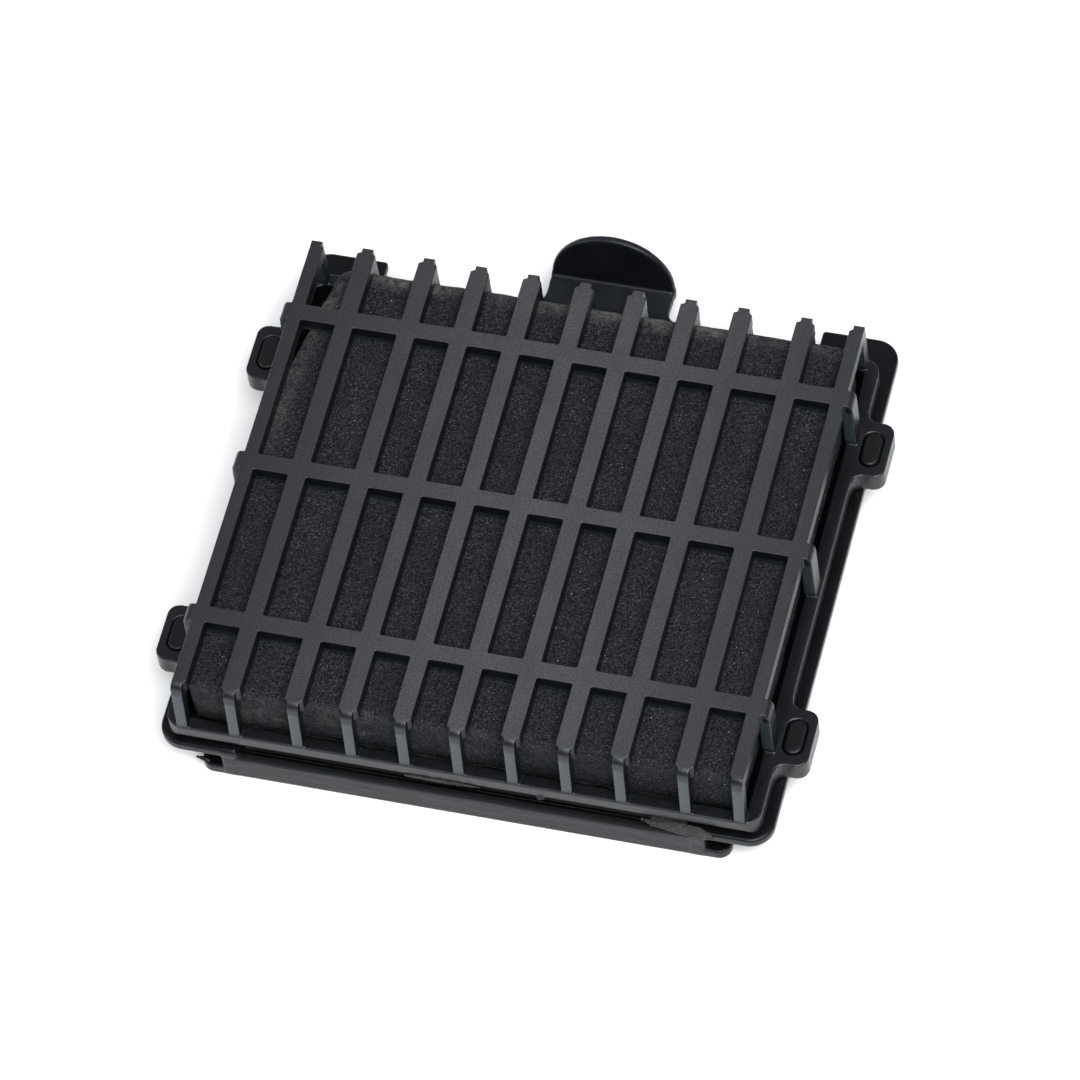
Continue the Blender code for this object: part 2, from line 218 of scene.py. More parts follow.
EDGE_PAIRS = [
    ((0, 0, 0), (1, 0, 0)), ((0, 1, 0), (1, 1, 0)), ((0, 0, 1), (1, 0, 1)), ((0, 1, 1), (1, 1, 1)),
    ((0, 0, 0), (0, 1, 0)), ((1, 0, 0), (1, 1, 0)), ((0, 0, 1), (0, 1, 1)), ((1, 0, 1), (1, 1, 1)),
    ((0, 0, 0), (0, 0, 1)), ((1, 0, 0), (1, 0, 1)), ((0, 1, 0), (0, 1, 1)), ((1, 1, 0), (1, 1, 1)),
]


def skin(field, grid):
    """Closed quad mesh on the zero level of a field: one vertex in each cell it crosses."""
    field = np.broadcast_to(field, grid.shape()).astype(np.float32)
    solid = field < 0
    nx, ny, nz = grid.shape()
    count = np.zeros((nx - 1, ny - 1, nz - 1), np.int8)
    for a in (0, 1):
        for b in (0, 1):
            for c in (0, 1):
                count += solid[a:nx - 1 + a, b:ny - 1 + b, c:nz - 1 + c]
    i, j, k = np.nonzero((count > 0) & (count < 8))
    total = np.zeros((len(i), 3), np.float32)
    hits = np.zeros(len(i), np.float32)
    for (a0, b0, c0), (a1, b1, c1) in EDGE_PAIRS:
        f0 = field[i + a0, j + b0, k + c0]
        f1 = field[i + a1, j + b1, k + c1]
        crossed = (f0 < 0) != (f1 < 0)
        t = np.where(crossed, f0 / np.where(crossed, f0 - f1, 1), 0)
        x = grid.xs[i + a0] * (1 - t) + grid.xs[i + a1] * t
        y = grid.ys[j + b0] * (1 - t) + grid.ys[j + b1] * t
        z = grid.zs[k + c0] * (1 - t) + grid.zs[k + c1] * t
        total[:, 0] += np.where(crossed, x, 0)
        total[:, 1] += np.where(crossed, y, 0)
        total[:, 2] += np.where(crossed, z, 0)
        hits += crossed
    points = total / hits[:, None]
    ids = np.full((nx - 1, ny - 1, nz - 1), -1, np.int32)
    ids[i, j, k] = np.arange(len(i))
    quads = []
    for axis in range(3):
        near = [slice(1, -1)] * 3
        far = [slice(1, -1)] * 3
        near[axis], far[axis] = slice(0, -1), slice(1, None)
        a, b = solid[tuple(near)], solid[tuple(far)]
        p = np.argwhere(a != b)
        leaving = a[tuple(p.T)]
        base = p.copy()
        others = [n for n in range(3) if n != axis]
        for n in others:
            base[:, n] += 1
        u, v = others
        if axis == 1:
            u, v = v, u
        corner = []
        for du, dv in ((-1, -1), (0, -1), (0, 0), (-1, 0)):
            q = base.copy()
            q[:, u] += du
            q[:, v] += dv
            corner.append(ids[tuple(q.T)])
        quad = np.stack(corner, 1)
        quad[~leaving] = quad[~leaving][:, ::-1]
        quads.append(quad)
    return points, np.concatenate(quads)


def mesh_object(name, points, quads):
    """A smooth-shaded object from millimetre points measured from the cage's middle."""
    points = (points + np.array([0.0, CENTRE_Y, 0.0])) * MM
    mesh = bpy.data.meshes.new(name)
    mesh.vertices.add(len(points))
    mesh.vertices.foreach_set("co", points.astype(np.float32).ravel())
    mesh.loops.add(quads.size)
    mesh.loops.foreach_set("vertex_index", quads.astype(np.int32).ravel())
    mesh.polygons.add(len(quads))
    mesh.polygons.foreach_set("loop_start", np.arange(0, quads.size, 4, dtype=np.int32))
    mesh.update(calc_edges=True)
    mesh.validate()
    mesh.shade_smooth()
    made = bpy.data.objects.new(name, mesh)
    bpy.context.scene.collection.objects.link(made)
    return made


def thin_out(piece, ratio):
    """Collapse what lies flat, then apply, so the mesh stays light."""
    modifier = piece.modifiers.new("Thin out", "DECIMATE")
    modifier.ratio = ratio
    with bpy.context.temp_override(object=piece, active_object=piece):
        bpy.ops.object.modifier_apply(modifier=modifier.name)
    weighted = piece.modifiers.new("Flat faces stay flat", "WEIGHTED_NORMAL")
    weighted.keep_sharp = False


def noise(shape_points, size, seed):
    """Smooth value noise from -1 to 1, with lumps of about the given size."""
    random = np.random.default_rng(seed)
    table = random.uniform(-1, 1, (32, 32, 32)).astype(np.float32)
    coords = [np.asarray(axis, np.float32) / size + 1000.0 for axis in shape_points]
    whole = [np.floor(c).astype(np.int32) for c in coords]
    part = [c - w for c, w in zip(coords, whole)]
    part = [p * p * (3 - 2 * p) for p in part]
    total = 0.0
    for a in (0, 1):
        for b in (0, 1):
            for c in (0, 1):
                value = table[(whole[0] + a) % 32, (whole[1] + b) % 32, (whole[2] + c) % 32]
                wa = part[0] if a else 1 - part[0]
                wb = part[1] if b else 1 - part[1]
                wc = part[2] if c else 1 - part[2]
                total = total + value * wa * wb * wc
    return total


def smooth(value, low, high):
    t = np.clip((value - low) / (high - low), 0, 1)
    return t * t * (3 - 2 * t)


# ---------------------------------------------------------------- materials


class Nodes:
    """Short hand for building a node tree."""

    def __init__(self, name):
        self.material = bpy.data.materials.new(name)
        self.material.use_nodes = True
        self.tree = self.material.node_tree
        self.shader = self.tree.nodes["Principled BSDF"]
        self.coords = self.tree.nodes.new("ShaderNodeTexCoord").outputs["Object"]

    def link(self, source, target):
        self.tree.links.new(source, target)

    def scaled(self, scale):
        mapping = self.tree.nodes.new("ShaderNodeMapping")
        mapping.inputs["Scale"].default_value = scale
        self.link(self.coords, mapping.inputs["Vector"])
        return mapping.outputs["Vector"]

    def noise(self, scale, detail=3.0, rough=0.55, vector=None):
        node = self.tree.nodes.new("ShaderNodeTexNoise")
        node.inputs["Scale"].default_value = scale
        node.inputs["Detail"].default_value = detail
        node.inputs["Roughness"].default_value = rough
        self.link(vector or self.coords, node.inputs["Vector"])
        return node.outputs["Fac"]

    def cells(self, scale):
        node = self.tree.nodes.new("ShaderNodeTexVoronoi")
        node.inputs["Scale"].default_value = scale
        self.link(self.coords, node.inputs["Vector"])
        return node.outputs["Distance"]

    def ramp(self, source, low, high, to_low=0.0, to_high=1.0):
        node = self.tree.nodes.new("ShaderNodeMapRange")
        node.inputs["From Min"].default_value = low
        node.inputs["From Max"].default_value = high
        node.inputs["To Min"].default_value = to_low
        node.inputs["To Max"].default_value = to_high
        self.link(source, node.inputs["Value"])
        return node.outputs["Result"]

    def between(self, source, low, low_full, high_full, high):
        """1 between the two full values, fading to 0 at the outer ones."""
        return self.math("MULTIPLY", self.ramp(source, low, low_full),
                         self.ramp(source, high, high_full))

    def math(self, operation, a, b):
        node = self.tree.nodes.new("ShaderNodeMath")
        node.operation = operation
        for socket, value in zip(node.inputs, (a, b)):
            if isinstance(value, (int, float)):
                socket.default_value = value
            else:
                self.link(value, socket)
        return node.outputs[0]

    def mix(self, fac, a, b):
        node = self.tree.nodes.new("ShaderNodeMix")
        node.data_type = "RGBA"
        sockets = [s for s in node.inputs if s.type == "RGBA"]
        self.link(fac, node.inputs[0])
        for socket, value in zip(sockets, (a, b)):
            if isinstance(value, tuple):
                socket.default_value = (*value, 1.0)
            else:
                self.link(value, socket)
        return [s for s in node.outputs if s.type == "RGBA"][0]

    def attribute(self, name):
        node = self.tree.nodes.new("ShaderNodeAttribute")
        node.attribute_name = name
        return node.outputs["Fac"]

    def place(self, axis):
        split = self.tree.nodes.new("ShaderNodeSeparateXYZ")
        self.link(self.coords, split.inputs[0])
        return split.outputs[axis]

    def facing(self, axis):
        """How far the surface faces along an axis."""
        geometry = self.tree.nodes.new("ShaderNodeNewGeometry")
        split = self.tree.nodes.new("ShaderNodeSeparateXYZ")
        self.link(geometry.outputs["Normal"], split.inputs[0])
        return split.outputs[axis]

    def bump(self, height, strength, distance, below=None):
        node = self.tree.nodes.new("ShaderNodeBump")
        node.inputs["Strength"].default_value = strength
        node.inputs["Distance"].default_value = distance
        self.link(height, node.inputs["Height"])
        if below is not None:
            self.link(below, node.inputs["Normal"])
        return node.outputs["Normal"]

    def finish(self, color, roughness, normal=None):
        self.link(color, self.shader.inputs["Base Color"])
        self.link(roughness, self.shader.inputs["Roughness"])
        if normal is not None:
            self.link(normal, self.shader.inputs["Normal"])
        return self.material


def worn_tops_and_painted_highlight(n, color, roughness, rough, cloud, top):
    """The grille's upper faces are duller and paler from wear, and a painted highlight makes them
    brighter in the middle.
    """
    height, edge_tone, highlight_tone, worn_rough = top
    worn_and_highlit = n.math("MULTIPLY", n.ramp(n.place("Z"), height - 0.0004, height),
                  n.ramp(n.facing("Z"), 0.80, 0.97))
    # painted highlight: the middle of the grille's top is painted brighter, as under a broad lamp
    off_centre = n.math("ABSOLUTE", n.math("SUBTRACT", n.place("X"), 0.006), 0.0)
    painted_highlight = n.math("MULTIPLY", n.ramp(off_centre, 0.058, 0.012),
                    n.ramp(cloud, 0.30, 0.62, 0.72, 1.0))
    color = n.mix(worn_and_highlit, color, n.mix(painted_highlight, edge_tone, highlight_tone))
    return color, n.math("ADD", roughness, n.math("MULTIPLY", worn_and_highlit, worn_rough - rough))


def cool_leg_fronts(n, color):
    """Front faces between flange and grille get a cool grey tone.

    This tone stands for light from the bright floor. It isn't the plastic's own colour.
    """
    side = n.math("MULTIPLY", n.ramp(n.facing("Y"), -0.6, -0.95),
                  n.between(n.place("Z"), 0.0123, 0.0135, 0.0212, 0.0222))
    return n.mix(side, color, (0.022, 0.031, 0.037))


def dark_slit(n, color, roughness):
    """The gap above the hook rail is made black and dull.

    This tone stands for the shade in the gap. It isn't the plastic's own colour.
    """
    slit = n.between(n.place("Z"), 0.0056, 0.0062, 0.0090, 0.0102)
    slit = n.math("MULTIPLY", slit, n.ramp(n.place("Y"), -0.0508, -0.0516))
    across = n.math("ABSOLUTE", n.place("X"), 0.0)
    slit = n.math("MULTIPLY", slit, n.ramp(across, 0.0405, 0.0400))
    color = n.mix(slit, color, (0.0, 0.0, 0.0))
    return color, n.math("ADD", roughness, n.math("MULTIPLY", slit, 0.6))


def rail_streaks(n, color):
    """Long scuffs on the steep faces of the hook rail."""
    streak = n.ramp(n.noise(2600.0, 3.0, 0.6, n.scaled((0.05, 1.0, 1.0))), 0.50, 0.68)
    low_front = n.math("MULTIPLY", n.ramp(n.place("Z"), 0.0082, 0.0070),
                       n.ramp(n.facing("Z"), 0.5, 0.2))
    streak = n.math("MULTIPLY", streak, low_front)
    return n.mix(n.math("MULTIPLY", streak, 0.9), color, (0.020, 0.025, 0.030))


def tab_painted_reflection(n, color, cloud):
    """A blotchy painted reflection on the tab and its neck, painted lighter on the upper faces."""
    across = n.math("ABSOLUTE", n.place("X"), 0.0)
    near_tab = n.math("MULTIPLY", n.ramp(n.place("Y"), 0.0460, 0.0475),
                      n.ramp(across, 0.0140, 0.0130))
    # painted reflection: cloudy patches near the tab, lighter where the faces look up
    reflection_patches = n.math("MULTIPLY", near_tab, n.ramp(cloud, 0.30, 0.65, 0.45, 1.0))
    tone = n.mix(n.ramp(n.facing("Z"), 0.4, 0.9), (0.0040, 0.0044, 0.0062),
                 (0.0100, 0.0118, 0.0145))
    return n.mix(reflection_patches, color, tone)


def settled_dust(n, color):
    """Rare pale specks, most of them on upper faces."""
    speck = n.ramp(n.cells(1500.0), 0.10, 0.02)
    rare = n.ramp(n.noise(1900.0, 2.0), 0.60, 0.70)
    dusty = n.math("MULTIPLY", speck, rare)
    dusty = n.math("MULTIPLY", dusty, n.ramp(n.facing("Z"), 0.3, 0.9, 0.1, 1.0))
    return n.mix(n.math("MULTIPLY", dusty, 0.5), color, (0.20, 0.20, 0.19))


def plastic(name, dark, light, rough, gloss, top=None, cool_legs=False, painted_tab_reflection=False):
    """Moulded nylon: fine spark-eroded grain, faint flow marks and settled dust, with painted shade
    in the gap above the rail and, where asked, painted light on the grille's tops, the leg fronts and
    the tab.

    top is (height in metres, edge tone, middle tone, roughness) of worn upper faces; the brighter
    middle tone is a painted highlight.
    """
    n = Nodes(name)
    cloud = n.noise(140.0, 4.0, 0.6)
    fine = n.noise(2700.0, 2.0, 0.6)
    flow = n.noise(900.0, 3.0, 0.6, n.scaled((1.0, 0.12, 1.0)))
    color = n.mix(n.ramp(cloud, 0.35, 0.68), dark, light)
    roughness = n.ramp(flow, 0.3, 0.7, rough - 0.04, rough + 0.05)
    if top:
        color, roughness = worn_tops_and_painted_highlight(n, color, roughness, rough, cloud, top)
    if cool_legs:
        color = cool_leg_fronts(n, color)
    pits = n.ramp(n.noise(2900.0, 2.0, 0.6), 0.40, 0.62, 0.0, 0.42)
    color = n.mix(pits, color, (0.0, 0.0, 0.0))
    color, roughness = dark_slit(n, color, roughness)
    color = rail_streaks(n, color)
    # painted reflection on the tab and its neck
    if painted_tab_reflection:
        color = tab_painted_reflection(n, color, cloud)
    color = settled_dust(n, color)
    roughness = n.math("ADD", roughness, n.ramp(fine, 0.3, 0.7, -0.04, 0.04))
    normal = n.bump(fine, 0.45, 0.00009)
    normal = n.bump(flow, 0.10, 0.00008, normal)
    n.shader.inputs["Specular Tint"].default_value = (0.86, 0.94, 1.0, 1.0)
    n.shader.inputs["Specular IOR Level"].default_value = gloss
    return n.finish(color, roughness, normal)


def foam_material():
    """Open-cell polyurethane: tiny dark pores, struts with painted glints, dust caught at the edges.
    """
    n = Nodes("filter_foam_look")
    pores = n.cells(1900.0)
    struts = n.ramp(pores, 0.14, 0.66)
    painted_glint = n.ramp(n.noise(4000.0, 2.0, 0.7), 0.56, 0.70)
    cloud = n.noise(120.0, 4.0, 0.6)
    tint = n.mix(n.ramp(n.noise(420.0, 2.0), 0.40, 0.60), (0.080, 0.094, 0.116),
                 (0.104, 0.100, 0.104))
    color = n.mix(struts, (0.0005, 0.0005, 0.0010), (0.0100, 0.0110, 0.0150))
    # painted glint: pale blue-grey specks on the struts, where light would catch them
    color = n.mix(n.math("MULTIPLY", painted_glint, n.ramp(cloud, 0.3, 0.7, 0.35, 1.0)), color, tint)
    caught = n.math("MULTIPLY", n.attribute("dust"), n.ramp(n.noise(700.0, 4.0, 0.7), 0.34, 0.62))
    color = n.mix(caught, color, (0.092, 0.088, 0.083))
    speck = n.math("MULTIPLY", n.ramp(n.cells(620.0), 0.080, 0.035),
                   n.ramp(n.noise(450.0, 2.0), 0.54, 0.60))
    color = n.mix(speck, color, (0.30, 0.30, 0.29))
    roughness = n.ramp(painted_glint, 0.0, 1.0, 0.95, 0.6)
    normal = n.bump(pores, 0.9, 0.00025)
    normal = n.bump(n.noise(1300.0, 3.0), 0.5, 0.0003, normal)
    n.shader.inputs["Specular IOR Level"].default_value = 0.18
    return n.finish(color, roughness, normal)


def felt_material():
    """Matted grey felt with short fibres."""
    n = Nodes("filter_fleece_look")
    fibre = n.noise(2600.0, 4.0, 0.75, n.scaled((1.0, 0.35, 1.0)))
    cloud = n.noise(420.0, 4.0, 0.6)
    color = n.mix(n.ramp(fibre, 0.35, 0.66), (0.003, 0.003, 0.003), (0.050, 0.049, 0.050))
    color = n.mix(n.ramp(cloud, 0.42, 0.62), color, (0.014, 0.013, 0.013))
    normal = n.bump(fibre, 0.9, 0.0004)
    return n.finish(color, n.ramp(cloud, 0.2, 0.8, 0.85, 1.0), normal)


def rubber_material():
    """Dull moulded rubber."""
    n = Nodes("seal_rubber_look")
    grain = n.noise(1600.0, 3.0)
    color = n.mix(n.ramp(n.noise(90.0, 3.0), 0.35, 0.7), (0.008, 0.008, 0.009),
                  (0.020, 0.020, 0.021))
    normal = n.bump(grain, 0.4, 0.0001)
    return n.finish(color, n.ramp(grain, 0.3, 0.7, 0.70, 0.88), normal)


def settle(piece, body, node_names, look):
    """Gives a piece its look and its body, and hides the nodes that it stands for."""
    piece.data.materials.append(look)
    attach(piece, body)
    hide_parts(*node_names)


# ---------------------------------------------------------------- the cage


def rib_spans():
    """Left side, right side and leg centre of each rib."""
    spans = []
    for x in sorted(set([-v for v in RIBS] + RIBS)):
        left, right = x - RIB_WIDTH / 2, x + RIB_WIDTH / 2
        if x == -RIBS[-1]:
            left += OUTER_RIB_TRIM
        if x == RIBS[-1]:
            right -= OUTER_RIB_TRIM
        leg = min(max(x, left + LEG_HALF), right - LEG_HALF)
        spans.append((left, right, leg))
    return spans


def cage_grid():
    """Fine samples at the edges of ribs, bars, legs, flange, ears and gate mark."""
    e = 0.10
    spans = rib_spans()
    zx, zy = [], []
    for left, right, leg in spans:
        zx += [(left, 3 * e, e), (right, 3 * e, e)]
        zx += [(leg - LEG_HALF, 2 * e, e), (leg + LEG_HALF, 2 * e, e)]
    for side in (-1, 1):
        zx += [(side * 52.6, 1.1, e * 1.8), (side * 56.4, 2.8, e * 3)]
        zy += [(side * 47.7, 2.0, e * 1.5), (side * EAR[1], 6.6, e * 3)]
    zx += [(GATE_X, 1.1, e * 1.8)]
    for y in BARS:
        zy += [(y - BAR_HALF, 3 * e, e), (y + BAR_HALF, 3 * e, e)]
    top, under = GRILLE_TOP, GRILLE_TOP - RIB_DEPTH
    zz = [(CAGE_BOTTOM + 0.9, 1.5, e * 1.8), (FLANGE_TOP, 0.7, e), (under, 3 * e, e),
          (top - 0.5, 0.9, e * 1.5), (top, 3 * e, e)]
    xs = lattice(-59.2, 59.2, 2.0, zx)
    ys = lattice(-49.6, 49.6, 2.0, zy)
    zs = lattice(CAGE_BOTTOM - 0.6, GRILLE_TOP + 0.6, 0.9, zz)
    return Grid(xs, ys, zs)


def lean(z, foot, top, low, high):
    """Outer face of a drafted leg: foot at the low height, top at the high one."""
    t = np.clip((z - low) / (high - low), 0, 1)
    return foot * (1 - t) + top * t


def grille_field(g, spans):
    """Ribs that narrow to their legs, and the cross bars."""
    x, y = g.xs[:, None], g.ys[None, :]
    plan = np.full((len(g.xs), len(g.ys)), 99.0, np.float32)
    shoulder = np.where(y > 0, SHOULDER + BACK_SHOULDER, SHOULDER)
    t = np.clip((np.abs(y) - shoulder) / (NECK - shoulder), 0, 1)
    for left, right, leg in spans:
        centre, half = (left + right) / 2, (right - left) / 2
        half = half * (1 - t) + LEG_HALF * t
        across = np.abs(x - centre * (1 - t) - leg * t) - half
        across = across * (1 - 0.15 * (t > 0) * (t < 1))
        plan = join(plan, np.maximum(across, np.abs(y) - TIP))
    for bar in BARS:
        plan = join(plan, box2(x, y, 0, bar, BAR_END, BAR_HALF, 0.15), 0.22)
    mid = GRILLE_TOP - RIB_DEPTH / 2
    return raise_up(plan[:, :, None], g.z - mid, RIB_DEPTH / 2, 0.16)


def comb_field(g, spans):
    """Legs along the front and back, flush with the flange's face."""
    x, z = g.xs[:, None], g.zs[None, :]
    face = lean(g.zs, FLANGE[1], TIP, FLANGE_TOP - 1.5, GRILLE_TOP)
    plan = box2(x, z, 0, FLANGE_MID, 50.8, FLANGE_HEIGHT / 2, 0.3)
    mid, half = (GRILLE_TOP + CAGE_BOTTOM) / 2, (GRILLE_TOP - CAGE_BOTTOM) / 2 - 0.02
    for _, _, leg in spans:
        plan = join(plan, box2(x, z, leg, mid, LEG_HALF, half, 0.15), 0.4)
    depth = np.abs(np.abs(g.y) - (face[None, None, :] - LEG_DEPTH / 2))
    return raise_up(plan[:, None, :], depth, LEG_DEPTH / 2, 0.2)


def bar_leg_field(g):
    """Legs at the ends of the bars."""
    y, z = g.ys[:, None], g.zs[None, :]
    face = lean(g.zs, BAR_END + 0.3, BAR_END, FLANGE_TOP, GRILLE_TOP)
    plan = np.full((len(g.ys), len(g.zs)), 99.0, np.float32)
    mid, half = (GRILLE_TOP + CAGE_BOTTOM + 1) / 2, (GRILLE_TOP - CAGE_BOTTOM - 1) / 2
    for bar in BARS:
        plan = join(plan, box2(y, z, bar, mid, BAR_HALF, half, 0.15))
    depth = np.abs(np.abs(g.x) - (face[None, None, :] - LEG_DEPTH / 2))
    return raise_up(plan[None, :, :], depth, LEG_DEPTH / 2, 0.2)


def flange_field(g):
    """Ring, ears and slots."""
    x, y = g.xs[:, None], g.ys[None, :]
    plan = box2(x, y, 0, 0, *FLANGE, 3.0)
    for place in corners(*EAR):
        plan = join(plan, box2(x, y, *place, *EAR_HALF, 2.1), 2.6)
    inside = (FLANGE[0] - FLANGE_WALL, FLANGE[1] - FLANGE_WALL)
    plan = cut(plan, box2(x, y, 0, 0, *inside, 1.2))
    for place in corners(*PEG):
        plan = cut(plan, box2(x, y, *place, *SLOT_HALF, 1.84))
    return raise_up(plan[:, :, None], g.z - FLANGE_MID, FLANGE_HEIGHT / 2, 0.22)


def gate_mark(g):
    """The stub on the flange's front face where the plastic came in."""
    blob = np.sqrt(((g.x - GATE_X) / 0.85) ** 2 + ((g.y + 48.7) / 0.75) ** 2
                   + ((g.z - CAGE_BOTTOM - 1.4) / 0.65) ** 2) - 1
    return blob * 0.6


def cage_field(g):
    spans = rib_spans()
    field = join(grille_field(g, spans), comb_field(g, spans))
    field = join(field, bar_leg_field(g))
    # the top outer corners of all legs are rounded off, least at the back
    for out, r in ((-g.y - TIP, 1.5), (g.y - TIP, 0.6), (np.abs(g.x) - BAR_END, 1.4)):
        field = round_off(field, out, g.z - GRILLE_TOP, r)
    field = join(field, flange_field(g), 0.25)
    # the long lower edges of the ring are well rounded
    field = round_off(field, np.abs(g.y) - FLANGE[1], CAGE_BOTTOM - g.z, 2.4)
    return join(field, gate_mark(g), 0.1)


def make_cage(look):
    g = cage_grid()
    piece = mesh_object("cage_moulding", *skin(cage_field(g), g))
    thin_out(piece, 0.3)
    settle(piece, "cage", CAGE_NODES, look)


# ---------------------------------------------------------------- the frame


def frame_grid():
    """Fine samples at the edges of plate, web, lip, collar, support grid and tab."""
    e = 0.19
    zx = [(TAB_X, 13.2, e * 3), (TAB_X - TAB_HALF, 1.4, e), (TAB_X + TAB_HALF, 1.4, e)]
    zy = [(FRONT + 1.2, 1.9, e), (-45.8, 1.0, e * 1.3), (54.2, 1.4, e * 1.5), (61.0, 3.2, e * 1.2)]
    for side in (-1, 1):
        zx += [(side * 53.2, 3.0, e * 1.6), (side * 57.0, 1.2, e * 1.6),
               (side * 42.2, 2.6, e * 1.3), (side * 47.1, 2.1, e * 1.2)]
        zy += [(side * EAR[1], 5.4, e * 2.0)]
    zy += [(FRONT + 5.0, 3.0, e * 2.0), (55.4, 2.6, e * 1.6), (42.6, 1.8, e * 2.0),
           (-42.9, 2.0, e * 2)]
    for zones, axis, count in ((zx, 0, GRID_COLUMNS), (zy, 1, GRID_ROWS)):
        low, high = WINDOW_LOW[axis], WINDOW_HIGH[axis]
        for n in range(count + 1):
            edge = low - GRID_BAR + n * (high - low + GRID_BAR) / count
            zones += [(edge, 1.5 * e, e), (edge + GRID_BAR, 1.5 * e, e)]
    zz = [(0.2, 0.7, e * 1.2), (2.6, 1.1, e * 1.1), (5.9, 1.0, e), (7.6, 0.7, e),
          (17.4, 1.8, e * 1.6)]
    xs = lattice(-58.2, 58.2, 2.2, zx)
    ys = lattice(FRONT - 0.7, 64.2, 2.2, zy)
    zs = lattice(-0.6, 19.4, 0.8, zz)
    return Grid(xs, ys, zs)


def window_plan(x, y):
    """The cells of the outlet window, between the bars of the support grid."""
    width, height = WINDOW_HIGH[0] - WINDOW_LOW[0], WINDOW_HIGH[1] - WINDOW_LOW[1]
    mid = (WINDOW_HIGH[1] + WINDOW_LOW[1]) / 2
    plan = box2(x, y, 0, mid, width / 2, height / 2, 0.6)
    half = GRID_BAR / 2
    for n in range(1, GRID_COLUMNS):
        bar = WINDOW_LOW[0] - half + n * (width + GRID_BAR) / GRID_COLUMNS
        plan = cut(plan, np.abs(x - bar) - half + 0 * y, 0.5)
    for n in range(1, GRID_ROWS):
        bar = WINDOW_LOW[1] - half + n * (height + GRID_BAR) / GRID_ROWS
        plan = cut(plan, np.abs(y - bar) - half + 0 * x, 0.5)
    return plan


def plate_field(g):
    """Plate with corner lobes, tab neck, peg seats and support grid."""
    x, y = g.xs[:, None], g.ys[None, :]
    plan = box2(x, y, 0, (BACK + FRONT) / 2, PLATE_HALF, (BACK - FRONT) / 2, 4.4)
    plan = cut(plan, box2(x, y, 0, FRONT, LOBE_X, LOBE_FRONT_DEPTH, 0.8), 0.6)
    plan = cut(plan, box2(x, y, 0, BACK, LOBE_X, BACK - LOBE_BACK_Y, 0.6), 0.6)
    plan = join(plan, box2(x, y, TAB_X, 55.0, TAB_HALF, 6.1, 0.8), 2.6)
    for place in corners(55.0, PEG[1]):
        plan = join(plan, box2(x, y, *place, 2.4, 4.2, 1.2), 0.6)
    plan = cut(plan, window_plan(x, y))
    for place in corners(*PEG):
        plan = cut(plan, box2(x, y, *place, 1.3, 2.8, 1.3))
    half = (PLATE_TOP - PLATE_BOTTOM) / 2
    return raise_up(plan[:, :, None], g.z - (PLATE_TOP + PLATE_BOTTOM) / 2, half, 0.5)


def add_hook_rail(g, field):
    """Front web with a rounded crest, its end blocks under the lobes, and the lip."""
    y, z = g.ys[:, None], g.zs[None, :]
    profile = box2(y, z, FRONT + WEB_WALL / 2, WEB_TOP / 2, WEB_WALL / 2, WEB_TOP / 2, 0.25)
    web = raise_up(profile[None, :, :], g.x, WEB_HALF, 0.2)
    field = np.minimum(field, round_off(web, FRONT - g.y, g.z - WEB_TOP, 1.25))
    profile = box2(y, z, FRONT + 1.1, PLATE_TOP / 2, 1.1, PLATE_TOP / 2, 0.75)
    for side in (-1, 1):
        block = raise_up(profile[None, :, :], g.x - side * 42.1, 1.5, 0.7)
        field = join(field, block, 0.5)
    half, height = LIP_DEPTH / 2, LIP_HEIGHT / 2
    plan = box2(g.xs[:, None], g.ys[None, :], 0, FRONT + half, LIP_HALF, half, 2.2)
    return np.minimum(field, raise_up(plan[:, :, None], g.z - height, height, 0.3))


def add_collar(g, field):
    """Outlet collar with its rim. The space between it and the web stays open."""
    x, y = g.xs[:, None], g.ys[None, :]
    low, high = COLLAR_Y
    mid, half = (low + high) / 2, (high - low) / 2
    for band, bottom, top in ((2.2, 1.8, 6.0), (4.6, 1.8, 3.2)):
        plan = box2(x, y, 0, mid, COLLAR_HALF, half, 2.0)
        plan = cut(plan, box2(x, y, 0, mid, COLLAR_HALF - band, half - band, 1.0))
        wall = raise_up(plan[:, :, None], g.z - (bottom + top) / 2, (top - bottom) / 2, 0.3)
        field = join(field, wall, 0.3)
    hollow = box2(g.ys[:, None], g.zs[None, :], -46.8, 6.2, 1.7, 3.4, 0.3)
    return cut(field, raise_up(hollow[None, :, :], g.x, LOBE_X - 0.1, 0.2))


def tab_field(g):
    """Finger tab, leaning outwards."""
    rise = g.z - PLATE_TOP
    reach = g.y - TAB_FACE
    up = rise * math.cos(TAB_LEAN) + reach * math.sin(TAB_LEAN)
    out = reach * math.cos(TAB_LEAN) - rise * math.sin(TAB_LEAN)
    arc = np.hypot(g.x - TAB_X, np.maximum(up, 0) * TAB_HALF / TAB_HEIGHT) - TAB_HALF
    disc = np.maximum(arc, -up - 1.9)
    return raise_up(disc, out - TAB_THICK / 2, TAB_THICK / 2, 0.62)


def flash_spike(g):
    """A spike of flash at the left end of the lip."""
    start, end = (-46.6, -48.6, 2.0), (-48.3, -49.1, 3.3)
    step = [end[n] - start[n] for n in range(3)]
    away = (g.x - start[0], g.y - start[1], g.z - start[2])
    t = sum(a * s for a, s in zip(away, step)) / sum(s * s for s in step)
    t = np.clip(t, 0, 1)
    distance = np.sqrt(sum((a - t * s) ** 2 for a, s in zip(away, step)))
    return distance - 0.55 + 0.35 * t


def frame_field(g):
    field = add_hook_rail(g, plate_field(g))
    field = add_collar(g, field)
    field = join(field, tab_field(g), 0.7)
    return join(field, flash_spike(g), 0.2)


def make_frame(look):
    g = frame_grid()
    piece = mesh_object("frame_moulding", *skin(frame_field(g), g))
    thin_out(piece, 0.32)
    settle(piece, "frame", FRAME_NODES, look)


# ---------------------------------------------------------------- small pieces


